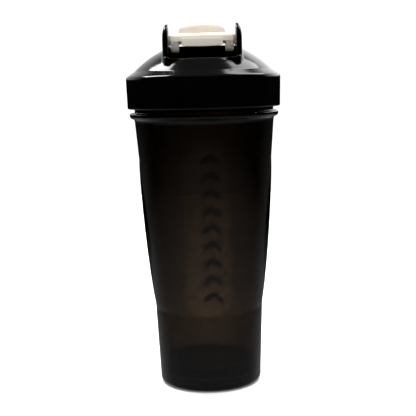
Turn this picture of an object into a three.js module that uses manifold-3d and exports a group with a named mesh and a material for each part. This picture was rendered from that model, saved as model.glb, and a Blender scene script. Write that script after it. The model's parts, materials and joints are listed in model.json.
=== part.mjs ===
// Protein shaker bottle: a tapered translucent cup, a black screw lid with a domed top, a drinking spout
// and two hinge ears, a white flip cap with a soft plug, a seal ring, and a mixing grid clipped into the
// lid. Millimetres, +Z up, origin on the axis at the base. The hinge is on the -Y side and the spout on
// the +Y side.
import * as THREE from 'three';
import { mergeVertices } from 'three/addons/utils/BufferGeometryUtils.js';
import Module from 'manifold-3d';

const wasm = await Module();
wasm.setup();

// ---- driving dimensions -------------------------------------------------------------------------
const ROUND_SEGMENTS = 48;
const CLEARANCE = 0.3; // gap kept between pieces that touch
const EDGE = 0.4; // broken edges
const OVERLAP = 1; // how far joined solids run into each other
const BEYOND = 60; // how far cutting solids reach past the part

const CUP = {
  wall: 1.9,
  lowWall: 1.55,
  footInner: 25.6,
  footOuter: 27.5,
  footRadius: 3.5,
  kneeHeight: 48,
  kneeBlend: 3,
  kneeTuck: 0.2,
  kneeRadius: 33.0,
  shoulderHeight: 161,
  shoulderRadius: 42.0,
};
const FLOOR = { top: 10, corner: 6, thickness: 1.6, underTo: -43 };
const FLANGE = { bottom: 162.4, top: 166.4, radius: 44.9, slant: 0.9, root: 0.5 };
const NECK = { outer: 41.9, inner: 40.2, top: 186 };
const GRIP = { bottom: 50, top: 139, bulge: 1.4, fullness: 0.7, halfWidth: 7.5 };
const THREAD = { lead: 10, starts: 2, root: 1.2, crest: 0.6, embed: 0.3, fade: 0.06 };
const NECK_THREAD = { base: 172, from: 0, to: 1, height: 1.6 };
const LID_THREAD = { base: 169.5, from: 0.13, to: 0.9, height: 1.8 };

const LID = {
  bottom: 169,
  bottomRadius: 46.05,
  radius: 46.5,
  wallInner: 44.3,
  shoulder: 188.9,
  shoulderFillet: 2.6,
  seat: 188.6,
  plugOuter: 38.6,
  plugInner: 36.9,
  plugBottom: 184,
  plugLeadIn: 0.3,
  plugTip: 0.5,
  brim: 0.6,
};
const DOME = { centre: 152.2, radius: 57.6, wall: 2, rim: 41.3, top: 206.4 };
const SPOUT = { y: 21, outer: 11.2, bore: 9.2, top: 216, rootDepth: 12, boreDepth: 20 };
const HINGE = { y: -18, z: 208, bore: 2.7, pin: 2.4, boreReach: 30 };
const EAR = {
  inner: 19.5,
  outer: 23.3,
  lean: 2,
  crown: 10.2,
  crownTo: 35,
  rearFoot: -32.4,
  frontFoot: -3,
  rounding: 2,
};
const RECESS = { floor: 198.2, front: -8.2, wall: 2, tubReach: 40 };
const SEAT_BLOCK = { inner: 13.8, outer: 21.8, rear: -32, depth: 4, proud: 0.5 };

const CAP = {
  halfWidth: 19.2,
  rear: -25.2,
  rearBow: 1,
  corner: 1.8,
  armTop: 212.7,
  armBottom: 207.7,
  plate: 2.2,
  lipBottom: 205.1,
  lipHalfWidth: 12,
  coverOuter: 14.4,
  coverInner: 12.3,
  coverBottom: 207.4,
  top: 221,
  coverEdge: 5.2,
  armEdge: 1.2,
  armWall: 2,
  lipDepth: 1.6,
  legInner: 13.4,
  legOuter: 18.4,
  legRadius: 4.7,
  legBottom: 202.2,
  legHalfDepth: 3.4,
  pinReach: 22.2,
  tabHalfWidth: 8,
  tabRoot: 4,
  tabReach: 3.6,
  tabEdge: 0.6,
  tabBottom: 211.2,
  tabTop: 214,
};
const PLUG = { discRadius: 11.9, topRadius: 8.9, bottomRadius: 8.0, bottom: 212.5 };
const SEAL = { inner: 38.9, outer: 43.9 };
const GRID = {
  rimInner: 34.6,
  rimOuter: 36.6,
  flange: 38.4,
  flangeTop: 183.7,
  bottom: 182,
  plateTop: 183.6,
  top: 186,
  bar: 2.1,
  pitch: 6,
  setIn: 0.2,
  weave: 0.15,
};

// ---- solids from three.js geometry ---------------------------------------------------------------
function signedVolume(geometry) {
  const p = geometry.attributes.position;
  const index = geometry.index;
  const [a, b, c] = [new THREE.Vector3(), new THREE.Vector3(), new THREE.Vector3()];
  let volume = 0;
  for (let i = 0; i < index.count; i += 3) {
    a.fromBufferAttribute(p, index.getX(i));
    b.fromBufferAttribute(p, index.getX(i + 1));
    c.fromBufferAttribute(p, index.getX(i + 2));
    volume += a.dot(b.cross(c)) / 6;
  }
  return volume;
}

// Merges a closed geometry's shared vertices, turns its faces outwards and makes it a manifold solid.
function solid(geometry) {
  geometry.deleteAttribute('normal');
  geometry.deleteAttribute('uv');
  const merged = mergeVertices(geometry, 1e-4);
  const corners = [];
  for (let i = 0; i < merged.index.count; i += 3) {
    const [a, b, c] = [merged.index.getX(i), merged.index.getX(i + 1), merged.index.getX(i + 2)];
    if (a !== b && b !== c && c !== a) corners.push(a, b, c);
  }
  merged.setIndex(corners);
  if (signedVolume(merged) < 0) {
    for (let i = 0; i < corners.length; i += 3) {
      [corners[i + 1], corners[i + 2]] = [corners[i + 2], corners[i + 1]];
    }
  }
  return new wasm.Manifold(new wasm.Mesh({
    numProp: 3,
    vertProperties: new Float32Array(merged.attributes.position.array),
    triVerts: new Uint32Array(corners),
  }));
}

const union = (solids) => solids.reduce((total, next) => total.add(next));
const v2 = (x, y) => new THREE.Vector2(x, y);

// A solid of revolution about Z from [radius, height] points.
function turned(points, segments = ROUND_SEGMENTS) {
  const geometry = new THREE.LatheGeometry(points.map(([r, z]) => v2(r, z)), segments);
  geometry.rotateX(Math.PI / 2);
  return solid(geometry);
}

function cylinder(radius, bottom, top, y = 0, segments = 32) {
  const geometry = new THREE.CylinderGeometry(radius, radius, top - bottom, segments);
  geometry.rotateX(Math.PI / 2);
  geometry.translate(0, y, (top + bottom) / 2);
  return solid(geometry);
}

function block([x0, y0, z0], [x1, y1, z1]) {
  const geometry = new THREE.BoxGeometry(x1 - x0, y1 - y0, z1 - z0);
  geometry.translate((x0 + x1) / 2, (y0 + y1) / 2, (z0 + z1) / 2);
  return solid(geometry);
}

// A cylinder along X, from x0 to x1, on the hinge axis.
function hingeCylinder(radius, x0, x1, segments = 16) {
  const geometry = new THREE.CylinderGeometry(radius, radius, x1 - x0, segments);
  geometry.rotateZ(Math.PI / 2);
  geometry.translate((x0 + x1) / 2, HINGE.y, HINGE.z);
  return solid(geometry);
}

// A side outline of [y, z] points extruded along X from x0 to x1.
function sideProfile(shape, x0, x1) {
  const geometry = new THREE.ExtrudeGeometry(shape, { depth: x1 - x0, bevelEnabled: false });
  geometry.applyMatrix4(new THREE.Matrix4().set(0, 0, 1, x0, 1, 0, 0, 0, 0, 1, 0, 0, 0, 0, 0, 1));
  return geometry;
}

// A plan outline of [x, y] points extruded upwards, with optional rounded edges at both ends.
function planProfile(shape, bottom, top, edge = 0) {
  const geometry = new THREE.ExtrudeGeometry(shape, {
    depth: top - bottom - 2 * edge,
    bevelEnabled: edge > 0,
    bevelSize: edge,
    bevelThickness: edge,
    bevelOffset: -edge,
    bevelSegments: 2,
    curveSegments: 8,
  });
  geometry.translate(0, 0, bottom + edge);
  return solid(geometry);
}

// Points of a circular arc about [cx, cz], angles in degrees from the first axis.
function arc(cx, cz, radius, from, to, steps) {
  return Array.from({ length: steps + 1 }, (_, i) => {
    const angle = THREE.MathUtils.degToRad(from + ((to - from) * i) / steps);
    return [cx + radius * Math.cos(angle), cz + radius * Math.sin(angle)];
  });
}

const sphereAngle = (radius, atRadius) => THREE.MathUtils.radToDeg(Math.acos(atRadius / radius));

// Helical thread ridges: a trapezoid section swept along the helix. direction is 1 for ridges that
// stand outwards and -1 for ridges that stand inwards; they fade out over the last part at each end.
function threadRidges(wallRadius, direction, thread) {
  const section = new THREE.Shape([
    v2(-THREAD.embed, -THREAD.root),
    v2(thread.height, -THREAD.crest),
    v2(thread.height, THREAD.crest),
    v2(-THREAD.embed, THREAD.root),
  ]);
  const ridges = [];
  for (let start = 0; start < THREAD.starts; start += 1) {
    const geometry = new THREE.ExtrudeGeometry(section, {
      depth: thread.to - thread.from,
      steps: 26,
      bevelEnabled: false,
    });
    const p = geometry.attributes.position;
    for (let i = 0; i < p.count; i += 1) {
      const turn = thread.from + p.getZ(i);
      const end = Math.min(turn - thread.from, thread.to - turn) / THREAD.fade;
      const height = p.getX(i) > 0 ? p.getX(i) * THREE.MathUtils.clamp(end, 0.05, 1) : p.getX(i);
      const angle = 2 * Math.PI * (turn + start / THREAD.starts);
      const radius = wallRadius + direction * height;
      const z = thread.base + THREAD.lead * turn + p.getY(i);
      p.setXYZ(i, radius * Math.cos(angle), radius * Math.sin(angle), z);
    }
    ridges.push(solid(geometry));
  }
  return union(ridges);
}

// ---- the cup --------------------------------------------------------------------------------------
const cupSlope = (CUP.shoulderRadius - CUP.kneeRadius) / (CUP.shoulderHeight - CUP.kneeHeight);
const cupRadius = (z) => CUP.kneeRadius + cupSlope * (z - CUP.kneeHeight);

function gripPanels() {
  const { kneeRadius } = CUP;
  const rings = 10;
  const outer = Array.from({ length: rings + 1 }, (_, i) => {
    const z = GRIP.bottom + ((GRIP.top - GRIP.bottom) * i) / rings;
    return [cupRadius(z) + GRIP.bulge * Math.sin((Math.PI * i) / rings) ** GRIP.fullness, z];
  });
  const inner = outer.map(([, z]) => [cupRadius(z) - CUP.wall / 2, z]).reverse();
  const band = turned([...outer, ...inner, outer[0]], 96);
  const lens = new THREE.Shape();
  lens.moveTo(0, GRIP.bottom);
  lens.quadraticCurveTo(2 * GRIP.halfWidth, (GRIP.bottom + GRIP.top) / 2, 0, GRIP.top);
  lens.quadraticCurveTo(-2 * GRIP.halfWidth, (GRIP.bottom + GRIP.top) / 2, 0, GRIP.bottom);
  const right = solid(sideProfile(lens, kneeRadius / 2, BEYOND));
  const left = solid(sideProfile(lens, -BEYOND, -kneeRadius / 2));
  return band.intersect(union([right, left]));
}

function bottleBody() {
  const { wall, lowWall, kneeRadius, kneeHeight } = CUP;
  const { shoulderRadius, shoulderHeight } = CUP;
  const footCorner = CUP.footOuter + CUP.footRadius;
  const cornerHeight = FLOOR.top + FLOOR.corner;
  const [kneeLow, kneeHigh] = [kneeHeight - CUP.kneeBlend, kneeHeight + CUP.kneeBlend];
  const lowRadius = kneeRadius - CUP.kneeTuck;
  const footSlope = (lowRadius - footCorner) / (kneeLow - CUP.footRadius);
  const innerCorner = footCorner + footSlope * (cornerHeight - CUP.footRadius) - lowWall;
  const cornerCentre = innerCorner - FLOOR.corner;
  const shell = turned([
    [0, FLOOR.top - FLOOR.thickness],
    ...arc(cornerCentre, cornerHeight, FLOOR.corner + FLOOR.thickness, -90, FLOOR.underTo, 4),
    [footCorner - lowWall, CUP.footRadius + 2 * EDGE],
    [CUP.footInner, lowWall],
    [CUP.footInner, 0],
    ...arc(CUP.footOuter, CUP.footRadius, CUP.footRadius, -90, 0, 4),
    [lowRadius, kneeLow],
    [cupRadius(kneeHigh), kneeHigh],
    [shoulderRadius, shoulderHeight],
    [shoulderRadius + FLANGE.root, FLANGE.bottom],
    [FLANGE.radius - FLANGE.slant, FLANGE.bottom + FLANGE.slant],
    [FLANGE.radius, FLANGE.bottom + 2 * FLANGE.slant],
    [FLANGE.radius, FLANGE.top - EDGE],
    [FLANGE.radius - EDGE, FLANGE.top],
    [NECK.outer + EDGE, FLANGE.top],
    [NECK.outer, FLANGE.top + EDGE],
    [NECK.outer, NECK.top - EDGE],
    [NECK.outer - EDGE, NECK.top],
    [NECK.inner + EDGE, NECK.top],
    [NECK.inner, NECK.top - EDGE],
    [shoulderRadius - wall, shoulderHeight],
    [kneeRadius - lowWall, kneeHeight],
    ...arc(cornerCentre, cornerHeight, FLOOR.corner, 0, -90, 5),
    [0, FLOOR.top],
  ]);
  return union([shell, gripPanels(), threadRidges(NECK.outer, 1, NECK_THREAD)]);
}

// ---- the screw lid --------------------------------------------------------------------------------
function earOutline() {
  const outline = new THREE.Shape();
  const foot = RECESS.floor - SEAT_BLOCK.depth;
  outline.moveTo(EAR.rearFoot, foot);
  const crown = arc(HINGE.y, HINGE.z, EAR.crown, 180, EAR.crownTo, 10);
  outline.lineTo(...crown[0]);
  crown.slice(1).forEach(([y, z]) => outline.lineTo(y, z));
  outline.lineTo(EAR.frontFoot, DOME.top - OVERLAP);
  outline.lineTo(EAR.frontFoot, foot);
  return outline;
}

// One ear: a plate whose outer face leans inwards above the hinge and whose rear foot is rounded.
function ear(side) {
  const depth = EAR.outer - EAR.inner;
  const geometry = new THREE.ExtrudeGeometry(earOutline(), { depth, steps: 3, bevelEnabled: false });
  const p = geometry.attributes.position;
  for (let i = 0; i < p.count; i += 1) {
    const [y, z, across] = [p.getX(i), p.getY(i), p.getZ(i) / depth];
    const above = Math.max(0, (z - HINGE.z) / EAR.crown);
    const lean = across * EAR.lean * above ** 3;
    const rounding = EAR.rounding * Math.max(0, 2 * across - 1);
    const towardsHinge = THREE.MathUtils.clamp((HINGE.y - y) / EAR.crown, -1, 1);
    p.setXYZ(i, side * (EAR.inner + across * depth - lean), y + rounding * towardsHinge, z);
  }
  return solid(geometry);
}

function screwLid() {
  const inside = DOME.radius - DOME.wall;
  const ceiling = DOME.top - DOME.wall;
  const ceilingRadius = Math.sqrt(inside ** 2 - (ceiling - DOME.centre) ** 2);
  const topRadius = Math.sqrt(DOME.radius ** 2 - (DOME.top - DOME.centre) ** 2);
  const domeOutside = arc(0, DOME.centre, DOME.radius, sphereAngle(DOME.radius, DOME.rim),
    sphereAngle(DOME.radius, topRadius), 8);
  const domeInside = arc(0, DOME.centre, inside, sphereAngle(inside, ceilingRadius),
    sphereAngle(inside, LID.plugInner), 7);
  const fillet = arc(LID.radius - LID.shoulderFillet, LID.shoulder - LID.shoulderFillet,
    LID.shoulderFillet, 0, 60, 4);
  const shell = turned([
    [0, ceiling],
    ...domeInside,
    [LID.plugInner, LID.plugBottom + EDGE],
    [LID.plugInner + LID.plugLeadIn, LID.plugBottom],
    [LID.plugOuter - EDGE, LID.plugBottom],
    [LID.plugOuter, LID.plugBottom + LID.plugTip],
    [LID.plugOuter, LID.seat],
    [LID.wallInner, LID.seat],
    [LID.wallInner, LID.bottom],
    [LID.bottomRadius - LID.brim, LID.bottom],
    [LID.bottomRadius, LID.bottom + 2 * EDGE],
    ...fillet,
    ...domeOutside,
    [0, DOME.top],
  ]);
  const cavity = turned([
    [0, LID.plugBottom],
    [LID.plugInner, LID.plugBottom],
    ...[...domeInside].reverse(),
    [0, ceiling],
  ]);
  const domeFoot = RECESS.floor - 2 * SEAT_BLOCK.depth;
  const domeSolid = turned([[0, domeFoot], [DOME.rim, domeFoot], ...domeOutside, [0, DOME.top]]);
  const spout = turned([
    [0, ceiling - SPOUT.rootDepth],
    [SPOUT.outer, ceiling - SPOUT.rootDepth],
    [SPOUT.outer, SPOUT.top - 2 * EDGE],
    [SPOUT.outer - 2 * EDGE, SPOUT.top],
    [0, SPOUT.top],
  ], 32).translate([0, SPOUT.y, 0]);
  const seatBlocks = [-1, 1].map((side) => {
    const [near, far] = [side * SEAT_BLOCK.inner, side * SEAT_BLOCK.outer].sort((a, b) => a - b);
    const bottom = RECESS.floor - SEAT_BLOCK.depth;
    return block([near, SEAT_BLOCK.rear, bottom], [far, EAR.frontFoot, RECESS.floor + SEAT_BLOCK.proud]);
  });
  const tub = block(
    [-EAR.inner - RECESS.wall, -RECESS.tubReach, RECESS.floor - RECESS.wall],
    [EAR.inner + RECESS.wall, RECESS.front + RECESS.wall, DOME.top],
  ).intersect(domeSolid);
  const recessTop = SPOUT.top + 10 * OVERLAP;
  const recess = block([-EAR.inner, -BEYOND, RECESS.floor], [EAR.inner, RECESS.front, recessTop]);
  const outside = union([shell, spout, ear(-1), ear(1), ...seatBlocks]).subtract(cavity);
  return union([outside, tub, threadRidges(LID.wallInner, -1, LID_THREAD)])
    .subtract(recess)
    .subtract(cylinder(SPOUT.bore, ceiling - SPOUT.boreDepth, SPOUT.top + 5 * OVERLAP, SPOUT.y, 32))
    .subtract(hingeCylinder(HINGE.bore, -HINGE.boreReach, HINGE.boreReach));
}

// ---- the flip cap ---------------------------------------------------------------------------------
// Plan outline of the arm: a bowed rear edge, straight sides between the ears, then a waist that runs
// into the round spout cover.
function armOutline(inset) {
  const half = CAP.halfWidth - inset;
  const rear = CAP.rear + inset;
  const cover = CAP.coverOuter - inset;
  const { corner } = CAP;
  const outline = new THREE.Shape();
  outline.moveTo(-half + corner, rear);
  outline.quadraticCurveTo(0, rear - 2 * CAP.rearBow, half - corner, rear);
  outline.quadraticCurveTo(half, rear, half, rear + corner);
  outline.lineTo(half, RECESS.front - 4);
  outline.bezierCurveTo(half, RECESS.front + 6, cover, RECESS.front + 8, cover, SPOUT.y - 4);
  outline.lineTo(cover, SPOUT.y);
  outline.lineTo(-cover, SPOUT.y);
  outline.lineTo(-cover, SPOUT.y - 4);
  outline.bezierCurveTo(-cover, RECESS.front + 8, -half, RECESS.front + 6, -half, RECESS.front - 4);
  outline.lineTo(-half, rear + corner);
  outline.quadraticCurveTo(-half, rear, -half + corner, rear);
  return outline;
}

function flipCap() {
  const edge = CAP.coverEdge;
  const coverEdge = arc(CAP.coverOuter - edge, CAP.top - edge, edge, 0, 90, 5);
  const cover = turned([
    [0, CAP.coverBottom],
    [CAP.coverOuter, CAP.coverBottom],
    ...coverEdge,
    [0, CAP.top],
  ], 36).translate([0, SPOUT.y, 0]);
  const coverHollow = cylinder(CAP.coverInner, CAP.coverBottom - OVERLAP, CAP.top - CAP.plate, SPOUT.y, 36);
  const tabRoot = SPOUT.y + CAP.coverOuter - CAP.tabRoot;
  const tabTip = SPOUT.y + CAP.coverOuter + CAP.tabReach;
  const tab = new THREE.Shape();
  tab.moveTo(-CAP.tabHalfWidth, tabRoot);
  tab.lineTo(CAP.tabHalfWidth, tabRoot);
  tab.quadraticCurveTo(CAP.tabHalfWidth, tabTip, 0, tabTip);
  tab.quadraticCurveTo(-CAP.tabHalfWidth, tabTip, -CAP.tabHalfWidth, tabRoot);
  const thumbTab = planProfile(tab, CAP.tabBottom, CAP.tabTop, CAP.tabEdge);
  const arm = planProfile(armOutline(0), CAP.armBottom, CAP.armTop, CAP.armEdge);
  const armHollow = planProfile(armOutline(CAP.armWall), CAP.armBottom - OVERLAP, CAP.armTop - CAP.plate);
  const lip = planProfile(armOutline(0), CAP.lipBottom, CAP.armBottom + CAP.armEdge).intersect(block(
    [-CAP.lipHalfWidth, -BEYOND, CAP.lipBottom - OVERLAP],
    [CAP.lipHalfWidth, CAP.rear + CAP.lipDepth, CAP.armTop],
  ));
  const legs = [-1, 1].map((side) => {
    const [x0, x1] = [side * CAP.legInner, side * CAP.legOuter].sort((a, b) => a - b);
    const web = block(
      [x0, HINGE.y - CAP.legHalfDepth, CAP.legBottom],
      [x1, HINGE.y + CAP.legHalfDepth, CAP.armTop - OVERLAP],
    );
    return hingeCylinder(CAP.legRadius, x0, x1, 20).add(web);
  });
  const pins = [-1, 1].map((side) => {
    const [x0, x1] = [side * (CAP.legOuter - OVERLAP), side * CAP.pinReach].sort((a, b) => a - b);
    return hingeCylinder(HINGE.pin, x0, x1, 16);
  });
  return union([arm.subtract(armHollow), cover, thumbTab, lip]).subtract(coverHollow)
    .add(union([...legs, ...pins]));
}

function spoutPlug() {
  const discTop = CAP.top - CAP.plate - CLEARANCE;
  const discBottom = SPOUT.top + CLEARANCE;
  return turned([
    [0, PLUG.bottom],
    [PLUG.bottomRadius - EDGE, PLUG.bottom],
    [PLUG.bottomRadius, PLUG.bottom + EDGE],
    [PLUG.topRadius, discBottom],
    [PLUG.discRadius, discBottom],
    [PLUG.discRadius, discTop],
    [0, discTop],
  ], 28).translate([0, SPOUT.y, 0]);
}

// ---- the seal ring and the mixing grid -------------------------------------------------------------
function sealRing() {
  const bottom = NECK.top + CLEARANCE;
  const top = LID.seat - CLEARANCE;
  return turned([
    [SEAL.inner, bottom + EDGE],
    [SEAL.inner + EDGE, bottom],
    [SEAL.outer - EDGE, bottom],
    [SEAL.outer, bottom + EDGE],
    [SEAL.outer, top],
    [SEAL.inner, top],
    [SEAL.inner, bottom + EDGE],
  ]);
}

// A square lattice in a rim that clips inside the lid's plug wall, with a flange below it. The bars that run
// along X are a little thinner than those along Y, so the two sets share no face.
function mixingGrid() {
  const rim = turned([
    [GRID.rimInner, GRID.bottom],
    [GRID.flange - EDGE, GRID.bottom],
    [GRID.flange, GRID.bottom + EDGE],
    [GRID.flange, GRID.flangeTop],
    [GRID.rimOuter, GRID.flangeTop],
    [GRID.rimOuter, GRID.top - EDGE],
    [GRID.rimOuter - EDGE, GRID.top],
    [GRID.rimInner, GRID.top],
    [GRID.rimInner, GRID.bottom],
  ]);
  const reach = Math.floor(GRID.rimInner / GRID.pitch);
  const low = GRID.bottom + GRID.setIn;
  const bars = [];
  for (let i = -reach; i <= reach; i += 1) {
    const [near, far] = [i * GRID.pitch - GRID.bar / 2, i * GRID.pitch + GRID.bar / 2];
    bars.push(block([near, -GRID.flange, low], [far, GRID.flange, GRID.plateTop]));
    bars.push(block([-GRID.flange, near, low + GRID.weave], [GRID.flange, far, GRID.plateTop - GRID.weave]));
  }
  const disc = cylinder(GRID.rimInner + OVERLAP, GRID.bottom - OVERLAP, GRID.top, 0, ROUND_SEGMENTS);
  return rim.add(union(bars).intersect(disc));
}

// ---- the assembly ----------------------------------------------------------------------------------
function part(name, manifold, material) {
  const { vertProperties, triVerts } = manifold.getMesh();
  const geometry = new THREE.BufferGeometry();
  geometry.setAttribute('position', new THREE.BufferAttribute(vertProperties, 3));
  geometry.setIndex(new THREE.BufferAttribute(triVerts, 1));
  const mesh = new THREE.Mesh(geometry, new THREE.MeshStandardMaterial(material));
  mesh.name = name;
  return mesh;
}

const shaker = new THREE.Group();
shaker.add(
  part('bottle_body', bottleBody(), {
    color: 0x1c1714, roughness: 0.35, metalness: 0, transparent: true, opacity: 0.75,
  }),
  part('screw_lid', screwLid(), { color: 0x08080a, roughness: 0.22, metalness: 0 }),
  part('flip_cap', flipCap(), { color: 0xf2f0ec, roughness: 0.4, metalness: 0 }),
  part('spout_plug_seal', spoutPlug(), { color: 0xd9d9d6, roughness: 0.6, metalness: 0 }),
  part('lid_seal_ring', sealRing(), { color: 0xd9d9d6, roughness: 0.6, metalness: 0 }),
  part('mixing_grid', mixingGrid(), { color: 0xf2f0ec, roughness: 0.4, metalness: 0 }),
);

export default shaker;
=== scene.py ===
"""Protein shaker bottle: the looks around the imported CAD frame.

Lengths are millimetres until a mesh is made.
"""

import json
import math

import bmesh
import bpy
import numpy as np
import openvdb
from mathutils import Matrix, Vector


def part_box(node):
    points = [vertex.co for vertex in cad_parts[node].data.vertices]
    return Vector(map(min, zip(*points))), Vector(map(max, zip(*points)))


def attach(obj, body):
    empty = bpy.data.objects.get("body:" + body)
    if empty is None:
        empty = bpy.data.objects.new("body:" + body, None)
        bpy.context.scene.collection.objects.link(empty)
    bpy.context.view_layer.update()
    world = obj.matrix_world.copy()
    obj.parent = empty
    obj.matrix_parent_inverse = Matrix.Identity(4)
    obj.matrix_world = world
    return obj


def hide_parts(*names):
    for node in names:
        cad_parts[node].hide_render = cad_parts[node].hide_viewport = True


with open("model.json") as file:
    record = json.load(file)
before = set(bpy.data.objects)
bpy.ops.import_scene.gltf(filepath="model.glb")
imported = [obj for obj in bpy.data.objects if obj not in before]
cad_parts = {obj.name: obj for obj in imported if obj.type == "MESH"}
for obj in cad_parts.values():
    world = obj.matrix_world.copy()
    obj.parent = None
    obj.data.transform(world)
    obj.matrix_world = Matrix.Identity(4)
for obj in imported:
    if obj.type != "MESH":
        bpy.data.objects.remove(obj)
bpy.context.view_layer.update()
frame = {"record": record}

MM = 0.001


# ---- sizes, from the frame ------------------------------------------------------------------------
def node_box(node):
    low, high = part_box(node)
    return np.array(low) / MM, np.array(high) / MM


_, CUP_HIGH = node_box("bottle_body")
LID_LOW, LID_HIGH = node_box("screw_lid")
CAP_LOW, CAP_HIGH = node_box("flip_cap")
PLUG_LOW, PLUG_HIGH = node_box("spout_plug_seal")
RING_LOW, RING_HIGH = node_box("lid_seal_ring")
GRID_LOW, GRID_HIGH = node_box("mixing_grid")
FLIP = next(j for j in frame["record"]["behaviour"]["joints"] if j["name"] == "cap_flip")
HINGE_Y, HINGE_Z = (v / MM for v in FLIP["pos_m"][1:])

# cup
WALL_TOP, WALL_LOW = 1.9, 1.55
FOOT_INNER, FOOT_OUTER, FOOT_CORNER = 25.6, 27.5, 3.5
KNEE_Z, KNEE_R, KNEE_BLEND, KNEE_TUCK = 48.0, 33.0, 3.0, 0.2
SHOULDER_Z, SHOULDER_R = 161.0, 42.0
FLOOR_TOP, FLOOR_CORNER, FLOOR_THICK = 10.0, 6.0, 1.6
FLANGE_LOW, FLANGE_TOP, FLANGE_R = 162.4, 166.4, float(CUP_HIGH[0])
NECK_OUTER, NECK_INNER, NECK_TOP = 41.9, 40.2, float(CUP_HIGH[2])
GRIP_LOW, GRIP_TOP, GRIP_BULGE, GRIP_HALF, GRIP_FULLNESS, GRIP_EDGE = 50.0, 139.0, 1.4, 7.5, 0.7, 0.7
WINDOW_LOW, WINDOW_TOP, WINDOW_HALF, WINDOW_DEPTH, WINDOW_EDGE = 31.0, 143.0, 15.5, 0.35, 0.5
FAR = 1e3
# thread
LEAD, STARTS, RIDGE_ROOT, RIDGE_CREST, RIDGE_FADE = 10.0, 2, 1.2, 0.6, 0.06
NECK_THREAD = dict(base=172.0, first=0.0, last=1.0, height=1.6)
LID_THREAD = dict(base=169.5, first=0.13, last=0.9, height=1.8)
# lid
LID_BOTTOM, LID_BOTTOM_R, LID_R = float(LID_LOW[2]), 46.05, float(LID_HIGH[0])
LID_INNER, LID_SEAT, LID_SHOULDER, SHOULDER_FILLET = 44.3, 188.6, 189.0, 2.5
PLUG_WALL_OUTER, PLUG_WALL_INNER, PLUG_WALL_LOW = 38.6, 36.9, 184.0
DOME_CENTRE, DOME_R, DOME_WALL, DOME_RIM, DOME_TOP = 151.05, 57.6, 2.0, 41.2, 205.3
SPOUT_Y, SPOUT_OUTER, SPOUT_BORE, SPOUT_TOP = float(PLUG_LOW[1] + PLUG_HIGH[1]) / 2, 11.2, 9.2, 216.0
EAR_INNER, EAR_OUTER, EAR_LEAN, EAR_CROWN, EAR_REAR, EAR_FRONT = 19.5, 23.0, 2.0, 10.2, -31.0, -3.0
RECESS_FLOOR, RECESS_FRONT = 198.2, -8.2
BLOCK_INNER, BLOCK_REAR, BLOCK_DEPTH = 13.8, -32.0, 3.5
HINGE_BORE, HINGE_BORE_FROM, HINGE_PIN = 2.7, 17, 2.4
# cap
CAP_HALF, CAP_REAR, CAP_BOW = 19.2, -25.2, 1.0
ARM_TOP, ARM_BOTTOM, ARM_PLATE = 212.7, 207.7, 2.2
LIP_BOTTOM, LIP_HALF = 204.7, 12.0
COVER_OUTER, COVER_INNER, COVER_BOTTOM, CAP_TOP = 14.4, 12.3, 207.4, float(CAP_HIGH[2])
LEG_INNER, LEG_OUTER, LEG_R, LEG_Z = 13.4, 18.4, 3.8, 205.2
COVER_EDGE, PIN_REACH, ARM_CORNER = 5.2, 22.2, 1.8
TAB_HALF, TAB_REACH, TAB_ROOT, TAB_RISE, TAB_THICK = 4.4, 3.6, 4.0, 0.05, 2.6
LIP_PROUD = 0.35


# ---- meshes ---------------------------------------------------------------------------------------
def make_object(name, points, faces, material, body=None, node=None):
    """A smooth mesh piece from millimetre points, riding on a body, standing for a CAD node."""
    mesh = bpy.data.meshes.new(name)
    corners = [tuple(map(int, f)) for f in faces]
    mesh.from_pydata([tuple(p) for p in np.asarray(points) * MM], [], corners)
    mesh.validate()
    obj = bpy.data.objects.new(name, mesh)
    bpy.context.collection.objects.link(obj)
    outward(mesh)
    mesh.polygons.foreach_set("use_smooth", [True] * len(mesh.polygons))
    mesh.materials.append(material)
    if body:
        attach(obj, body)
    if node:
        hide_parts(node)
    return obj


def outward(mesh):
    """Turns the faces of a closed mesh outwards."""
    work = bmesh.new()
    work.from_mesh(mesh)
    bmesh.ops.recalc_face_normals(work, faces=work.faces)
    if work.calc_volume(signed=True) < 0:
        bmesh.ops.reverse_faces(work, faces=work.faces)
    work.to_mesh(mesh)
    work.free()


def arc(cx, cz, radius, first, last, steps):
    """Points of an arc round (cx, cz), from one angle in degrees to another."""
    angles = np.radians(np.linspace(first, last, steps + 1))
    return [(cx + radius * math.cos(a), cz + radius * math.sin(a)) for a in angles]


def refine(path, step):
    """A path of (r, z) points with no gap longer than step."""
    out = [path[0]]
    for (r0, z0), (r1, z1) in zip(path, path[1:]):
        parts = max(1, math.ceil(math.hypot(r1 - r0, z1 - z0) / step))
        out += [(r0 + (r1 - r0) * i / parts, z0 + (z1 - z0) * i / parts) for i in range(1, parts + 1)]
    return out


def revolve(path, segments, radius_change=None):
    """Points and quads of a path turned about Z.

    The path starts and ends on the axis or closes on itself.
    radius_change(r, z, angle, k) gives what to add to the radius, with k the point's number in the path.
    """
    closed = path[0] == path[-1]
    rows = path[:-1] if closed else path[1:-1]
    angle = np.linspace(0, 2 * math.pi, segments, endpoint=False)
    points = []
    for k, (r, z) in enumerate(rows):
        radius = r + (radius_change(r, z, angle, k) if radius_change else 0) + 0 * angle
        points.append(np.stack([radius * np.cos(angle), radius * np.sin(angle), 0 * angle + z], 1))
    count = len(rows)
    points = np.concatenate(points)
    faces = []
    for k in range(count if closed else count - 1):
        a, b = k * segments, ((k + 1) % count) * segments
        for i in range(segments):
            j = (i + 1) % segments
            faces.append((a + i, a + j, b + j, b + i))
    if not closed:
        ends = [(0, 0, path[0][1]), (0, 0, path[-1][1])]
        points = np.concatenate([points, ends])
        low, high = len(points) - 2, len(points) - 1
        last = (count - 1) * segments
        for i in range(segments):
            j = (i + 1) % segments
            faces.append((low, j, i))
            faces.append((high, last + i, last + j))
    return points, faces


def smoothstep(edge0, edge1, x):
    """0 up to the first edge and 1 from the second, with a soft rise between."""
    t = np.clip((x - edge0) / (edge1 - edge0), 0, 1)
    return t * t * (3 - 2 * t)


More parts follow.
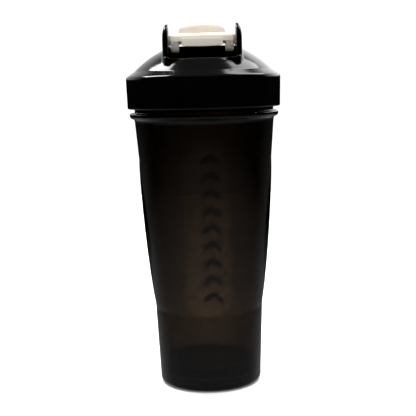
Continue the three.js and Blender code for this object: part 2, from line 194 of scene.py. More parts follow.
def ridge_height(z, angle, thread):
    """How far a helical thread ridge stands off its wall at a height and angle."""
    height = 0 * (z + angle)
    for start in range(STARTS):
        base_turn = (angle / (2 * math.pi) - start / STARTS) % 1.0
        for whole in (-1, 0, 1):
            turn = base_turn + whole
            off = np.abs(z - thread["base"] - LEAD * turn)
            flank = np.clip((RIDGE_ROOT - off) / (RIDGE_ROOT - RIDGE_CREST), 0, 1)
            ends = smoothstep(thread["first"], thread["first"] + RIDGE_FADE, turn)
            ends = ends * (1 - smoothstep(thread["last"] - RIDGE_FADE, thread["last"], turn))
            height = np.maximum(height, thread["height"] * flank * ends)
    return height


# ---- solids as distance fields --------------------------------------------------------------------
class Grid:
    """A box of sample points, at which fields of distance to a surface are worked out."""

    def __init__(self, low, high, step):
        self.low, self.step = np.array(low, float), step
        spans = [np.arange(a, b + step, step, dtype=np.float32) for a, b in zip(low, high)]
        self.x, self.y, self.z = np.meshgrid(*spans, indexing="ij", sparse=True)

    def turned(self, outline):
        """Distance to a closed (r, z) outline turned about Z."""
        radius = np.sqrt(self.x**2 + self.y**2)
        heights = self.z[0, 0]
        fine = self.step / 2
        radii = np.arange(0, float(radius.max()) + 2 * fine, fine, dtype=np.float32)
        flat = outline_distance(outline, radii[:, None], heights[None, :])
        place = radius[:, :, 0] / fine
        cell = place.astype(np.int32)
        part = (place - cell)[:, :, None]
        return flat[cell] * (1 - part) + flat[cell + 1] * part

    def mesh(self, field):
        """Points and faces of the surface where the field is zero."""
        band = 3 * self.step
        grid = openvdb.FloatGrid(band)
        grid.copyFromArray(np.ascontiguousarray(np.clip(field, -band, band), dtype=np.float32))
        points, quads = grid.convertToQuads(0.0)
        return points * self.step + self.low, quads[:, ::-1]


def outline_distance(outline, u, v):
    """Signed distance, negative inside, from points (u, v) to a closed outline."""
    u, v = np.broadcast_arrays(u, v)
    nearest = np.full(u.shape, 1e9, np.float32)
    inside = np.zeros(u.shape, bool)
    for (u0, v0), (u1, v1) in zip(outline, outline[1:] + outline[:1]):
        du, dv = u1 - u0, v1 - v0
        if du * du + dv * dv < 1e-12:
            continue
        t = np.clip(((u - u0) * du + (v - v0) * dv) / (du * du + dv * dv), 0, 1)
        nearest = np.minimum(nearest, (u - u0 - t * du) ** 2 + (v - v0 - t * dv) ** 2)
        crosses = (v0 > v) != (v1 > v)
        if dv:
            inside ^= crosses & (u < u0 + (v - v0) * du / dv)
    return np.where(inside, -1, 1) * np.sqrt(nearest)


def rounded(a, b, radius):
    """The part that is inside both a and b, with the edge between them rounded."""
    p, q = a + radius, b + radius
    return np.minimum(np.maximum(p, q), 0) + np.hypot(np.maximum(p, 0), np.maximum(q, 0)) - radius


def join(a, b, blend):
    """The union of two fields, with a fillet of about the blend's size."""
    h = np.clip(0.5 + 0.5 * (b - a) / blend, 0, 1)
    return b * (1 - h) + a * h - blend * h * (1 - h)


def cut(a, b, blend):
    """What is left of a when b is taken out."""
    return -join(-a, b, blend)


def bezier(p0, p1, p2, p3, steps):
    """Points of a cubic curve after its first point."""
    out = []
    for i in range(1, steps + 1):
        t = i / steps
        w = ((1 - t) ** 3, 3 * t * (1 - t) ** 2, 3 * t * t * (1 - t), t**3)
        out.append(tuple(sum(k * p[n] for k, p in zip(w, (p0, p1, p2, p3))) for n in (0, 1)))
    return out


# ---- materials ------------------------------------------------------------------------------------
RANGE_INPUTS = "From Min", "From Max", "To Min", "To Max"


class Look:
    """A Principled material with short ways to add procedural detail."""

    def __init__(self, name, **settings):
        self.material = bpy.data.materials.new(name)
        self.material.use_nodes = True
        self.tree = self.material.node_tree
        self.shader = self.tree.nodes["Principled BSDF"]
        self.output = self.tree.nodes["Material Output"]
        for key, value in settings.items():
            self.shader.inputs[key.replace("_", " ")].default_value = value

    def node(self, kind, **inputs):
        made = self.tree.nodes.new(kind)
        for key, value in inputs.items():
            made.inputs[key.replace("_", " ")].default_value = value
        return made

    def link(self, source, target):
        self.tree.links.new(source, target)

    def noise(self, scale, detail):
        """Noise in the object's own metres."""
        place = self.node("ShaderNodeTexCoord")
        noise = self.node("ShaderNodeTexNoise", Scale=scale, Detail=detail)
        self.link(place.outputs["Object"], noise.inputs["Vector"])
        return noise.outputs["Fac"]

    def spread(self, source, low, high, from_low=0.3, from_high=0.7):
        """A 0 to 1 source mapped to a range."""
        ranged = self.node("ShaderNodeMapRange")
        for key, value in zip(RANGE_INPUTS, (from_low, from_high, low, high)):
            ranged.inputs[key].default_value = value
        self.link(source, ranged.inputs["Value"])
        return ranged.outputs["Result"]

    def tint(self, source, low, high):
        """Base colour between two colours."""
        mix = self.node("ShaderNodeMix")
        mix.data_type = "RGBA"
        mix.inputs["A"].default_value = (*low, 1)
        mix.inputs["B"].default_value = (*high, 1)
        self.link(source, mix.inputs["Factor"])
        self.link(mix.outputs["Result"], self.shader.inputs["Base Color"])

    def bump(self, source, distance, strength):
        bump = self.node("ShaderNodeBump", Distance=distance, Strength=strength)
        self.link(source, bump.inputs["Height"])
        self.link(bump.outputs["Normal"], self.shader.inputs["Normal"])


def black_plastic():
    look = Look("black_polypropylene", IOR=1.49)
    look.tint(look.spread(look.noise(60, 3), 0, 1), (0.0004, 0.0004, 0.0005), (0.0009, 0.0009, 0.001))
    look.link(look.spread(look.noise(90, 4), 0.1, 0.15), look.shader.inputs["Roughness"])
    look.bump(look.noise(700, 2), 0.00002, 0.25)
    return look.material


def white_plastic():
    look = Look("white_polypropylene", IOR=1.49, Subsurface_Weight=0.25, Subsurface_Scale=0.002)
    look.shader.inputs["Subsurface Radius"].default_value = (1.0, 0.8, 0.6)
    look.tint(look.spread(look.noise(45, 3), 0, 1), (0.83, 0.765, 0.665), (0.88, 0.825, 0.735))
    look.link(look.spread(look.noise(110, 3), 0.3, 0.42), look.shader.inputs["Roughness"])
    look.bump(look.noise(2200, 2), 0.00003, 0.3)
    return look.material


# Smoke plastic: a wall absorbs density * (1 - colour) per metre, for red, green and blue.
SMOKE_COLOUR, SMOKE_DENSITY = (0.3, 0.222, 0.11), 2250.0


def smoke_plastic():
    look = Look("smoke_polypropylene", IOR=1.49, Transmission_Weight=1.0)
    look.tint(look.spread(look.noise(40, 3), 0, 1), (0.9, 0.9, 0.9), (1.0, 1.0, 1.0))
    look.link(look.spread(look.noise(70, 4), 0.03, 0.06), look.shader.inputs["Roughness"])
    look.bump(look.noise(900, 2), 0.00001, 0.1)
    smoke = look.node("ShaderNodeVolumeAbsorption", Density=SMOKE_DENSITY, Color=(*SMOKE_COLOUR, 1))
    look.link(smoke.outputs["Volume"], look.output.inputs["Volume"])
    return look.material


def silicone():
    look = Look("silicone", IOR=1.41, Subsurface_Weight=0.4, Subsurface_Scale=0.003)
    look.tint(look.spread(look.noise(50, 3), 0, 1), (0.6, 0.6, 0.58), (0.7, 0.7, 0.68))
    look.link(look.spread(look.noise(160, 3), 0.45, 0.6), look.shader.inputs["Roughness"])
    look.bump(look.noise(1500, 2), 0.00003, 0.3)
    return look.material


def ink():
    look = Look("print_ink", IOR=1.5, Alpha=0.7)
    look.tint(look.spread(look.noise(400, 3), 0, 1), (0.62, 0.62, 0.62), (0.75, 0.75, 0.75))
    look.link(look.spread(look.noise(600, 2), 0.4, 0.6), look.shader.inputs["Roughness"])
    return look.material


# ---- the cup --------------------------------------------------------------------------------------
def cup_radius(z):
    """Outer radius of the plain cup wall above the foot's corner."""
    foot = [FOOT_OUTER + FOOT_CORNER, KNEE_R - KNEE_TUCK]
    low = np.interp(z, [FOOT_CORNER, KNEE_Z - KNEE_BLEND], foot)
    cone = KNEE_R + (SHOULDER_R - KNEE_R) * (z - KNEE_Z) / (SHOULDER_Z - KNEE_Z)
    return low + (cone - low) * smoothstep(KNEE_Z - KNEE_BLEND, KNEE_Z + KNEE_BLEND, z)


def grip_bulge(z, side):
    """How far the two lens-shaped side grips stand off the wall, side away from the XZ plane."""
    t = np.clip((z - GRIP_LOW) / (GRIP_TOP - GRIP_LOW), 1e-6, 1 - 1e-6)
    half = 4 * GRIP_HALF * t * (1 - t)
    beside = smoothstep(half - GRIP_EDGE, half + GRIP_EDGE, side)
    return GRIP_BULGE * np.sin(math.pi * t) ** GRIP_FULLNESS * (1 - beside)


def window_depth(z, x, y):
    """How deep the round-ended window is sunk into the wall on the spout side."""
    middle = np.clip(z, WINDOW_LOW + WINDOW_HALF, WINDOW_TOP - WINDOW_HALF)
    distance = np.where(y > 0, np.hypot(x, z - middle), FAR)
    beyond = smoothstep(WINDOW_HALF - WINDOW_EDGE, WINDOW_HALF + WINDOW_EDGE, distance)
    return WINDOW_DEPTH * (1 - beyond)


def outer_surface(z, angle):
    """Outer radius of the finished wall, grips and window included."""
    base = cup_radius(z)
    x, y = base * np.cos(angle), base * np.sin(angle)
    return base + grip_bulge(z, np.abs(y)) * (z < SHOULDER_Z) - window_depth(z, x, y)


def make_cup(material):
    """Under the floor, up the outside and over the lip, then down the inside to the floor."""
    corner_z = FLOOR_TOP + FLOOR_CORNER
    corner_r = float(cup_radius(corner_z)) - WALL_LOW - FLOOR_CORNER
    wall = [(float(cup_radius(z)), float(z)) for z in np.linspace(FOOT_CORNER, SHOULDER_Z, 176)]
    neck_fillet = 0.6
    outer = [
        *refine([(FOOT_INNER, 0.4), (FOOT_INNER + 0.4, 0), (FOOT_OUTER, 0)], 0.5),
        *arc(FOOT_OUTER, FOOT_CORNER, FOOT_CORNER, -90, 0, 12)[1:-1],
        *wall,
        *arc(SHOULDER_R + 2.0, FLANGE_LOW - 1.0, 1.9, 180, 105, 7),
        *arc(FLANGE_R - 2.0, FLANGE_LOW + 2.6, 2.0, -75, 0, 7),
        *arc(FLANGE_R - 0.7, FLANGE_TOP - 0.7, 0.7, 0, 90, 5),
        (NECK_OUTER + neck_fillet, FLANGE_TOP),
        *arc(NECK_OUTER + neck_fillet, FLANGE_TOP + neck_fillet, neck_fillet, -90, -180, 4),
    ]
    threaded = refine([(NECK_OUTER, FLANGE_TOP + neck_fillet + 0.2), (NECK_OUTER, NECK_TOP - 0.6)], 0.22)
    lip = [*arc(NECK_OUTER - 0.5, NECK_TOP - 0.5, 0.5, 0, 90, 5),
           *arc(NECK_INNER + 0.4, NECK_TOP - 0.4, 0.4, 90, 180, 4)]
    inner = refine([(NECK_INNER, NECK_TOP - 1), (SHOULDER_R - WALL_TOP - 0.1, SHOULDER_Z),
                    (KNEE_R - WALL_LOW, KNEE_Z)], 4)
    under = [(0, FLOOR_TOP - FLOOR_THICK),
             *refine([(0.5, FLOOR_TOP - FLOOR_THICK), (corner_r - 0.4, FLOOR_TOP - FLOOR_THICK)], 2),
             *arc(corner_r, corner_z, FLOOR_CORNER + FLOOR_THICK, -90, -43, 10),
             *refine([(FOOT_OUTER + FOOT_CORNER - WALL_LOW, FOOT_CORNER + 0.8),
                      (FOOT_INNER + 0.5, WALL_LOW), (FOOT_INNER, WALL_LOW - 0.5)], 1)]
    dish = [*arc(corner_r, corner_z, FLOOR_CORNER, 0, -90, 14),
            *refine([(corner_r - 0.4, FLOOR_TOP), (0.5, FLOOR_TOP)], 2), (0, FLOOR_TOP)]
    path = under + outer + threaded + lip + inner + dish
    first_outer, last_outer = len(under), len(under) + len(outer)
    last_thread = last_outer + len(threaded)

    def change(r, z, angle, k):
        number = k + 1  # the path's first point is on the axis and is no row of its own
        if first_outer <= number < last_outer and FOOT_CORNER < z <= SHOULDER_Z:
            return outer_surface(z, angle) - r
        if last_outer <= number < last_thread:
            return ridge_height(z, angle, NECK_THREAD)
        return 0

    points, faces = revolve(path, 360, change)
    return make_object("cup", points, faces, material, "bottle", "bottle_body")


# ---- the lid --------------------------------------------------------------------------------------
def lid_outline():
    """The turned shell of skirt, shoulder and dome, with the plug wall inside."""
    inside = DOME_R - DOME_WALL
    ceiling = DOME_TOP - DOME_WALL
    ceiling_r = math.sqrt(inside**2 - (ceiling - DOME_CENTRE) ** 2)
    top_r = math.sqrt(DOME_R**2 - (DOME_TOP - DOME_CENTRE) ** 2)

    def lean(radius, at):
        return math.degrees(math.acos(at / radius))

    return [
        (-1, ceiling),
        *arc(0, DOME_CENTRE, inside, lean(inside, ceiling_r), lean(inside, PLUG_WALL_INNER), 24),
        (PLUG_WALL_INNER, PLUG_WALL_LOW + 0.4),
        (PLUG_WALL_INNER + 0.3, PLUG_WALL_LOW),
        (PLUG_WALL_OUTER - 0.4, PLUG_WALL_LOW),
        (PLUG_WALL_OUTER, PLUG_WALL_LOW + 0.5),
        (PLUG_WALL_OUTER, LID_SEAT),
        (LID_INNER, LID_SEAT),
        (LID_INNER, LID_BOTTOM + 0.5),
        (LID_INNER + 0.4, LID_BOTTOM),
        *arc(LID_BOTTOM_R - 0.7, LID_BOTTOM + 0.7, 0.7, -90, 0, 5),
        *arc(LID_R - SHOULDER_FILLET, LID_SHOULDER - SHOULDER_FILLET, SHOULDER_FILLET, 0, 60, 12),
        *arc(0, DOME_CENTRE, DOME_R, lean(DOME_R, DOME_RIM), lean(DOME_R, top_r), 32),
        (-1, DOME_TOP),
    ]


def ear_outline():
    """Side view of an ear, as (y, z)."""
    foot = RECESS_FLOOR - BLOCK_DEPTH
    crown = arc(HINGE_Y, HINGE_Z, EAR_CROWN, 180, 35, 24)
    return [(EAR_REAR, foot), *crown, (EAR_FRONT, DOME_TOP - 1), (EAR_FRONT, foot)]


def lid_field(grid):
    """Distance to the lid's surface: shell, ears, recess, spout and thread."""
    x, y, z = grid.x, grid.y, grid.z
    across = np.abs(x)
    shell = grid.turned(lid_outline())
    from_centre = np.sqrt(x**2 + y**2 + (z - DOME_CENTRE) ** 2)
    dome = np.maximum(from_centre - DOME_R, z - DOME_TOP)
    cavity = np.maximum(from_centre - (DOME_R - DOME_WALL), z - DOME_TOP + DOME_WALL)
    # ears
    above = np.maximum(0, (z - HINGE_Z) / EAR_CROWN)
    outer_face = EAR_OUTER - EAR_LEAN * above**3
    plate = np.maximum(EAR_INNER - across, across - outer_face)
    towards = np.clip((HINGE_Y - y) / EAR_CROWN, 0, 1)
    tuck = np.maximum(0, across - EAR_INNER - 1.6) * 0.9 * towards
    side_view = outline_distance(ear_outline(), y[0], z[0])[None]
    ears = rounded(plate, side_view + tuck, 0.9)
    # seat blocks at the ears' feet
    block = np.maximum(BLOCK_INNER - across, across - EAR_OUTER + 1)
    block = np.maximum(block, np.maximum(BLOCK_REAR - y, y - EAR_FRONT))
    block = np.maximum(block, np.maximum(z - RECESS_FLOOR - 0.5, RECESS_FLOOR - BLOCK_DEPTH - z))
    # spout
    from_spout = np.sqrt(x**2 + (y - SPOUT_Y) ** 2)
    tube = rounded(from_spout - SPOUT_OUTER, z - SPOUT_TOP, 0.8)
    rim = np.hypot(from_spout - SPOUT_OUTER + 0.35, z - SPOUT_TOP + 2.2) - 0.75
    tube = np.maximum(join(tube, rim, 0.6), DOME_TOP - 14 - z)
    solid = join(shell, np.maximum(tube, -cavity), 1.6)
    solid = join(solid, np.maximum(ears, -cavity), 1.0)
    solid = join(solid, np.maximum(block, -cavity), 0.5)
    # the tub under the recess, then the recess itself
    tub = np.maximum(across - EAR_INNER - 2, np.maximum(y - RECESS_FRONT - 2, RECESS_FLOOR - 2 - z))
    solid = join(solid, np.maximum(tub, dome), 0.4)
    recess = rounded(across - EAR_INNER, np.maximum(y - RECESS_FRONT, RECESS_FLOOR - z), 0.8)
    solid = cut(solid, recess, 0.5)
    solid = cut(solid, np.maximum(from_spout - SPOUT_BORE, DOME_TOP - 22 - z), 0.5)
    bore = np.sqrt((y - HINGE_Y) ** 2 + (z - HINGE_Z) ** 2) - HINGE_BORE
    solid = cut(solid, np.maximum(bore, HINGE_BORE_FROM - across), 0.4)
    # inner thread
    angle = np.arctan2(y, x)
    radius = np.sqrt(x**2 + y**2)
    inner_wall = z[0, 0] < LID_SEAT - 1
    heights = z[:, :, inner_wall]
    ridge = ridge_height(heights, angle % (2 * math.pi), LID_THREAD)
    ridges = np.maximum(LID_INNER - ridge - radius, radius - LID_INNER - 0.5) * 0.8
    solid[:, :, inner_wall] = np.minimum(solid[:, :, inner_wall], np.where(ridge > 0.02, ridges, FAR))
    return solid


def make_lid(material):
    step = 0.4
    grid = Grid(LID_LOW - 1.5, LID_HIGH + 1.5, step)
    points, faces = grid.mesh(lid_field(grid))
    return make_object("lid", points, faces, material, "lid", "screw_lid")


# ---- the flip cap ---------------------------------------------------------------------------------
def arm_outline():
    """Plan outline of the arm on its +X side and back, as (x, y)."""
    corner = ARM_CORNER
    side = [(CAP_HALF - corner, CAP_REAR)]
    side += bezier(side[-1], (CAP_HALF - 0.8, CAP_REAR), (CAP_HALF, CAP_REAR + 0.8),
                   (CAP_HALF, CAP_REAR + corner), 6)
    waist = (CAP_HALF, RECESS_FRONT - 4)
    side.append(waist)
    side += bezier(waist, (CAP_HALF, RECESS_FRONT + 6), (COVER_OUTER, RECESS_FRONT + 8),
                   (COVER_OUTER, SPOUT_Y - 4), 16)
    side.append((COVER_OUTER, SPOUT_Y))
    straight = CAP_HALF - corner
    rear = np.linspace(-straight, straight, 17)
    bow = [(x, CAP_REAR - CAP_BOW * (1 - (x / straight) ** 2)) for x in rear]
    return bow + side[1:] + [(-px, py) for px, py in side[:0:-1]]


def cap_field(grid):
    """Distance to the cap's surface: arm, spout cover, thumb tab, lip, legs and pins."""
    x, y, z = grid.x, grid.y, grid.z
    across = np.abs(x)
    plan = outline_distance(arm_outline(), x[:, :, 0], y[:, :, 0])[:, :, None]
    from_spout = np.sqrt(x**2 + (y - SPOUT_Y) ** 2)
    fall = 0.9 * np.clip((HINGE_Y + 6 - y) / 14, 0, 1) ** 2
    arm = rounded(plan, z - ARM_TOP + fall, 2.0)
    arm = np.maximum(arm, ARM_BOTTOM - z)
    hollow = rounded(plan + 2, z - ARM_TOP + ARM_PLATE + fall, 1.0)
    arm = cut(arm, hollow, 0.4)
    cover = rounded(from_spout - COVER_OUTER, z - CAP_TOP, COVER_EDGE)
    cover = np.maximum(cover, COVER_BOTTOM - z)
    solid = join(arm, cover, 1.2)
    # thumb tab
    past_cover = y - SPOUT_Y - COVER_OUTER
    tab_plan = np.hypot(np.maximum(across - TAB_HALF, 0), np.maximum(past_cover + 0.2, 0)) - TAB_REACH
    tab_plan = np.maximum(tab_plan, -TAB_ROOT - past_cover)
    middle = ARM_TOP - 0.1 + TAB_RISE * np.maximum(0, past_cover) ** 1.2
    tab = rounded(tab_plan, np.abs(z - middle) - TAB_THICK / 2, 0.7)
    solid = join(solid, tab, 0.9)
    # lip: the deeper middle of the rear face, a little proud of it
    lip = rounded(across - LIP_HALF, np.maximum(plan - LIP_PROUD, y - CAP_REAR - 1.6), 0.5)
    bottom = LIP_BOTTOM + 0.5 * (across / LIP_HALF) ** 2
    lip = rounded(lip, np.maximum(z - ARM_TOP + 2.2 + fall, bottom - z), 0.6)
    solid = join(solid, lip, 0.3)
    inside = np.maximum(from_spout - COVER_INNER, z - CAP_TOP + ARM_PLATE)
    solid = cut(solid, inside, 0.4)
    # legs and pins
    from_hinge = np.sqrt((y - HINGE_Y) ** 2 + (z - HINGE_Z) ** 2)
    web = rounded(np.abs(y - HINGE_Y) - 3.4, np.maximum(LEG_Z - z, z - ARM_TOP + 1.2 + fall), 1.2)
    foot = np.hypot(y - HINGE_Y, z - LEG_Z) - LEG_R
    legs = rounded(join(foot, web, 1.0), np.maximum(LEG_INNER - across, across - LEG_OUTER), 0.7)
    solid = join(solid, legs, 0.8)
    pins = rounded(from_hinge - HINGE_PIN, np.maximum(LEG_OUTER - 1 - across, across - PIN_REACH), 0.4)
    return join(solid, pins, 0.2)


def make_cap(material):
    step = 0.25
    grid = Grid(CAP_LOW - 1.5, CAP_HIGH + 1.5, step)
    points, faces = grid.mesh(cap_field(grid))
    return make_object("cap", points, faces, material, "cap", "flip_cap")


# ---- seals and mixing grid -------------------------------------------------------------------------
def make_plug(material):
    """The soft plug with its sealing bead, under a disc that fills the cover's inside."""
    disc_r = float(PLUG_HIGH[0])
    disc_low, top, bottom = SPOUT_TOP + 0.3, float(PLUG_HIGH[2]), float(PLUG_LOW[2])
    low_r, high_r = 8.0, 8.9
    path = [
        (0, bottom + 0.8),
        *refine([(5.6, bottom + 0.8), (6.4, bottom + 0.1)], 0.5),
        *arc(low_r - 0.6, bottom + 0.6, 0.6, -90, 0, 5),
        *arc(low_r + 0.35, bottom + 1.7, 0.45, -80, 80, 6),
        (high_r, disc_low),
        *arc(disc_r - 0.4, disc_low + 0.4, 0.4, -90, 0, 4),
        *arc(disc_r - 0.4, top - 0.4, 0.4, 0, 90, 4),
        (0, top),
    ]
    points, faces = revolve(path, 128)
    points[:, 1] += SPOUT_Y
    return make_object("spout_plug", points, faces, material, "cap", "spout_plug_seal")


def make_ring(material):
    """A flat ring with a bead below that meets the cup's rim."""
    low, high = float(RING_LOW[2]), float(RING_HIGH[2])
    inner, outer = 38.9, float(RING_HIGH[0])
    bead, bead_r, lift, corner = 0.45, 41.0, 0.15, 0.3
    path = [
        *arc(inner + corner, low + corner + lift, corner, 180, 270, 3),
        (NECK_INNER, low + lift),
        *arc(bead_r, low + bead, bead, 200, 340, 6),
        (NECK_OUTER, low + lift),
        *arc(outer - corner, low + corner + lift, corner, 270, 360, 3),
        *arc(outer - corner, high - corner, corner, 0, 90, 3),
        *arc(inner + corner, high - corner, corner, 90, 180, 3),
    ]
    path.append(path[0])
    points, faces = revolve(path, 192)
    return make_object("seal_ring", points, faces, material, "seal_ring", "lid_seal_ring")


def make_grid(material):
    """The mixing grid: a square lattice of rounded bars in a rim with a flange."""
    rim_inner, rim_outer, flange_top = 34.6, 36.6, 183.7
    pitch, width, gap, thick, weave = 6.0, 2.1, 0.2, 1.6, 0.15
    low, high = float(GRID_LOW[2]), float(GRID_HIGH[2])
    flange = float(GRID_HIGH[0])
    step = 0.35
    grid = Grid(GRID_LOW - 1.5, GRID_HIGH + 1.5, step)
    rim = grid.turned([(rim_inner, low), (flange, low), (flange, flange_top), (rim_outer, flange_top),
                       (rim_outer, high), (rim_inner, high)])

    def bars(along, bottom, top):
        beside = np.abs((along + pitch / 2) % pitch - pitch / 2) - width / 2
        return rounded(beside, np.abs(grid.z - (bottom + top) / 2) - (top - bottom) / 2, 0.4)

    one_way = bars(grid.x, low + gap, low + thick)
    other_way = bars(grid.y, low + gap + weave, low + thick - weave)
    lattice = join(one_way, other_way, 0.3)
    lattice = np.maximum(lattice, np.sqrt(grid.x**2 + grid.y**2) - rim_inner - 1)
    points, faces = grid.mesh(join(rim, lattice, 0.3))
    return make_object("grid", points, faces, material, "lid", "mixing_grid")


# ---- the print on the window ----------------------------------------------------------------------
INK_LOW, INK_TOP = 0.01, 0.05
SCALE_RIGHT, TICK_LONG, TICK_SHORT, TICK_THICK, FIGURE_SIZE = 13.5, 5.0, 3.2, 0.8, 3.2


def wrapped(flat, depth):
    """A print point (right, up) as seen from the spout side, laid on the wall; depth counts outwards."""
    right, z = flat
    angle = math.pi / 2 + right / cup_radius(z)
    radius = float(outer_surface(z, np.array([angle]))[0]) + depth
    return radius * math.cos(angle), radius * math.sin(angle), z


def bar(points, faces, corners, parts):
    """A thin closed strip between two edges of a flat four-cornered bar, bent round the wall."""
    a, b, c, d = corners
    first = len(points)
    for i in range(parts + 1):
        t = i / parts
        low = tuple(a[n] + (b[n] - a[n]) * t for n in (0, 1))
        high = tuple(d[n] + (c[n] - d[n]) * t for n in (0, 1))
        points += [wrapped(p, depth) for p in (low, high) for depth in (INK_LOW, INK_TOP)]
    for i in range(parts):
        k = first + 4 * i
        faces += [(k, k + 4, k + 6, k + 2), (k + 1, k + 3, k + 7, k + 5),
                  (k, k + 1, k + 5, k + 4), (k + 2, k + 6, k + 7, k + 3)]
    end = first + 4 * parts
    faces += [(first, first + 2, first + 3, first + 1), (end, end + 1, end + 3, end + 2)]


def make_scale(material):
    """A volume scale: a tick each 50 ml, longer each 100 ml, worked out from the cup's inside."""
    points, faces, labels = [], [], []
    volume, z, step = 0.0, FLOOR_TOP, 0.25
    wanted, most, apart = 100, 500, 50
    while wanted <= most:
        radius = float(cup_radius(max(z, FOOT_CORNER + 1))) - WALL_LOW
        volume += math.pi * radius**2 * step / 1000
        z += step
        if volume >= wanted:
            numbered = wanted % 100 == 0
            left = SCALE_RIGHT - (TICK_LONG if numbered else TICK_SHORT)
            top = z + TICK_THICK
            bar(points, faces, [(left, z), (SCALE_RIGHT, z), (SCALE_RIGHT, top), (left, top)], 8)
            if numbered:
                labels.append((wanted, z))
            wanted += apart
    make_object("volume_ticks", points, faces, material, "bottle")
    for amount, height in labels:
        make_label(f"volume_{amount}", str(amount), height + 2 * TICK_THICK, material)


def make_label(name, text, up, material):
    """Plain figures on the wall, right-aligned with the ticks."""
    curve = bpy.data.curves.new(name, "FONT")
    curve.body, curve.size, curve.align_x = text, FIGURE_SIZE, "RIGHT"
    curve.extrude = (INK_TOP - INK_LOW) / 2
    source = bpy.data.objects.new(name + "_text", curve)
    bpy.context.collection.objects.link(source)
    depsgraph = bpy.context.evaluated_depsgraph_get()
    mesh = bpy.data.meshes.new_from_object(source.evaluated_get(depsgraph))
    bpy.data.objects.remove(source)
    flat = [v.co.copy() for v in mesh.vertices]
    points = [wrapped((SCALE_RIGHT + p.x, up + p.y), p.z + (INK_TOP + INK_LOW) / 2) for p in flat]
    faces = [tuple(f.vertices) for f in mesh.polygons]
    bpy.data.meshes.remove(mesh)
    make_object(name, points, faces, material, "bottle")


def make_chevrons(material):
    """A plain column of chevrons where the real cup carries its print."""
    points, faces = [], []
    count, half, rise, stroke, centre = 9, 6.3, 4.0, 4.4, -3.2
    low, pitch = 40.0, 11.2
    for n in range(count):
        base = low + n * pitch
        for side in (-1, 1):
            corners = [(centre, base + rise), (centre + side * half, base),
                       (centre + side * half, base + stroke), (centre, base + rise + stroke)]
            bar(points, faces, corners, 6)
    make_object("chevrons", points, faces, material, "bottle")


# ---- studio ---------------------------------------------------------------------------------------
PAPER_NEAR, PAPER_FAR, WALL_GLOW = 0.4, 0.9, 1.15
BACKDROP_LEFT, BACKDROP_RIGHT = 0.75, 2.2
TABLE_BEHIND, TABLE_FAR, TABLE_NEAR, CEILING = 0.12, 0.2, -0.06, 0.11


def make_camera():
    """A long lens a little above the lid's height, looking slightly down at the hinge side."""
    data = bpy.data.cameras.new("camera")
    cam = bpy.data.objects.new("camera", data)
    bpy.context.collection.objects.link(cam)
    width_px, focal_px, centre_px = 416, 995, 206.6
    data.sensor_width = 36
    data.lens = data.sensor_width * focal_px / width_px
    data.shift_x = (width_px / 2 - centre_px) / width_px
    pitch, roll = math.radians(7.59), math.radians(-1.55)
    look = Matrix.Rotation(math.pi / 2 - pitch, 4, "X") @ Matrix.Rotation(roll, 4, "Z")
    cam.matrix_world = Matrix.Translation((0, -0.6051, 0.188)) @ look
    bpy.context.scene.camera = cam


def glowing_card():
    """White card that shines evenly."""
    look = Look("glowing_card", Roughness=1.0)
    look.shader.inputs["Specular IOR Level"].default_value = 0
    look.tint(look.spread(look.noise(30, 3), 0, 1), (0.0, 0.0, 0.0), (0.01, 0.01, 0.01))
    look.shader.inputs["Emission Color"].default_value = (1, 1, 1, 1)
    look.shader.inputs["Emission Strength"].default_value = WALL_GLOW
    return look.material


def paper():
    """White card that glows more and more towards its far edge, with a painted shadow under the cup
    where its glow is cut to nothing.
    """
    look = Look("paper", Roughness=1.0)
    look.shader.inputs["Specular IOR Level"].default_value = 0
    look.tint(look.spread(look.noise(30, 3), 0, 1), (0.79, 0.79, 0.79), (0.81, 0.81, 0.81))
    place = look.node("ShaderNodeTexCoord")
    reach = look.node("ShaderNodeVectorMath")
    reach.operation = "LENGTH"
    look.link(place.outputs["Object"], reach.inputs[0])
    cup_edge = (FOOT_OUTER + FOOT_CORNER) * MM
    spread_out = look.spread(reach.outputs["Value"], PAPER_NEAR, PAPER_FAR, cup_edge, 0.7)
    # Painted shadow: the glow fades from 1 mm beyond the foot's edge to nothing 4 mm inside it, so the
    # floor under the cup is dark.
    outside_painted_cup_shadow = look.spread(reach.outputs["Value"], 0, 1, cup_edge - 0.004, cup_edge + 0.001)
    glow = look.node("ShaderNodeMath")
    glow.operation = "MULTIPLY"
    look.link(spread_out, glow.inputs[0])
    look.link(outside_painted_cup_shadow, glow.inputs[1])
    look.shader.inputs["Emission Color"].default_value = (1, 1, 1, 1)
    look.link(glow.outputs["Value"], look.shader.inputs["Emission Strength"])
    return look.material


def make_tent():
    """A pale round floor inside a pale round wall, so every view has the same plain background.

    What is glossy mirrors neither, and the wall gives no light to the object.
    """
    reach, corner, top, sides = 1.25, 0.25, 2.2, 96
    curve = np.radians(np.linspace(0, 90, 13))
    level = [(r, 0.0) for r in (0.01, 0.03, 0.05, 0.1, 0.2, 0.4, 0.7, reach - corner)]
    rise = [(reach - corner + corner * math.sin(a), corner - corner * math.cos(a)) for a in curve]
    cards = ("floor", level, paper()), ("wall", [*rise, (reach, top)], glowing_card())
    for name, rows, material in cards:
        turn = np.linspace(0, 2 * math.pi, sides, endpoint=False)
        points = [(r * math.cos(t) / MM, r * math.sin(t) / MM, z / MM) for r, z in rows for t in turn]
        pairs = [(i, (i + 1) % sides) for i in range(sides)]
        starts = [sides * k for k in range(len(rows) - 1)]
        faces = [(k + i, k + j, k + sides + j, k + sides + i) for k in starts for i, j in pairs]
        if name == "floor":
            faces.append(tuple(range(sides)))
        card = make_object(name, points, faces, material)
        card.visible_glossy = False
        card.visible_diffuse = name == "floor"


def area_light(name, place, target, size, power):
    """A rectangular light that faces a target, size as (width, height)."""
    data = bpy.data.lights.new(name, "AREA")
    data.shape, data.size, data.size_y, data.energy = "RECTANGLE", size[0], size[1], power
    light = bpy.data.objects.new(name, data)
    bpy.context.collection.objects.link(light)
    light.location = place
    light.rotation_euler = (Vector(target) - Vector(place)).to_track_quat("-Z", "Y").to_euler()
    return light


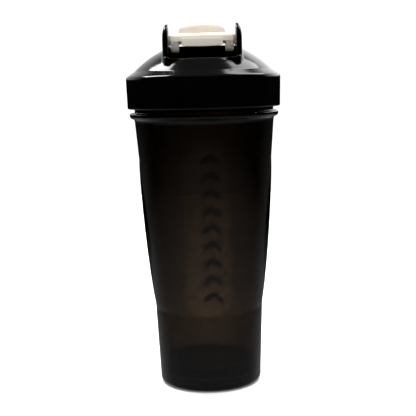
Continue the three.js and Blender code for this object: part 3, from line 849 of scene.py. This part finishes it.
def make_world():
    """What the glossy parts mirror: a faint ceiling, a low pale backdrop and the table in front."""
    world = bpy.data.worlds.new("studio")
    bpy.context.scene.world = world
    world.use_nodes = True
    tree = world.node_tree
    place = tree.nodes.new("ShaderNodeTexCoord")
    axes = tree.nodes.new("ShaderNodeSeparateXYZ")
    tree.links.new(place.outputs["Generated"], axes.inputs["Vector"])

    def ramp(axis, low, high, start, end):
        ranged = tree.nodes.new("ShaderNodeMapRange")
        for key, value in zip(RANGE_INPUTS, (low, high, start, end)):
            ranged.inputs[key].default_value = value
        tree.links.new(axes.outputs[axis], ranged.inputs["Value"])
        return ranged.outputs["Result"]

    def combine(operation, first, *others):
        for other in others:
            maths = tree.nodes.new("ShaderNodeMath")
            maths.operation = operation
            tree.links.new(first, maths.inputs[0])
            tree.links.new(other, maths.inputs[1])
            first = maths.outputs["Value"]
        return first

    behind = ramp("Y", 0.2, 0.7, 0, 1)
    low_band = combine("MULTIPLY", ramp("Z", 0.0, 0.12, 0, 1), ramp("Z", 0.5, 0.68, 1, 0))
    backdrop = combine("MULTIPLY", behind, low_band, ramp("X", -0.3, 0.5, BACKDROP_LEFT, BACKDROP_RIGHT))
    table_behind = combine("MULTIPLY", behind, ramp("Z", -0.05, -0.4, 0, TABLE_BEHIND))
    table = combine("ADD", ramp("Z", -0.2, -0.36, 0, TABLE_FAR), ramp("Z", -0.36, -0.9, 0, TABLE_NEAR))
    ceiling = ramp("Z", 0.6, 1, 0, CEILING)
    light = combine("ADD", backdrop, table_behind, table, ceiling)
    tree.nodes["Background"].inputs["Color"].default_value = (1, 1, 1, 1)
    tree.links.new(light, tree.nodes["Background"].inputs["Strength"])


def make_studio():
    make_world()
    middle = (0, 0, 0.2)
    area_light("softbox_left", (-0.575, 0.42, 1.03), middle, (0.37, 0.44), 6.8)
    area_light("softbox_right", (0.57, 0.42, 1.043), middle, (0.6, 0.58), 4.8)
    top_fill = area_light("top_fill", (0, 0.1, 1.3), (0, 0, 0.1), (1.2, 1.0), 30)
    top_fill.visible_glossy = False
    bpy.context.scene.view_settings.view_transform = "Standard"


make_camera()
make_studio()
make_tent()

black = black_plastic()
white = white_plastic()
seal = silicone()
print_ink = ink()
make_cup(smoke_plastic())
make_lid(black)
make_cap(white)
make_plug(seal)
make_ring(seal)
make_grid(white)
make_scale(print_ink)
make_chevrons(print_ink)
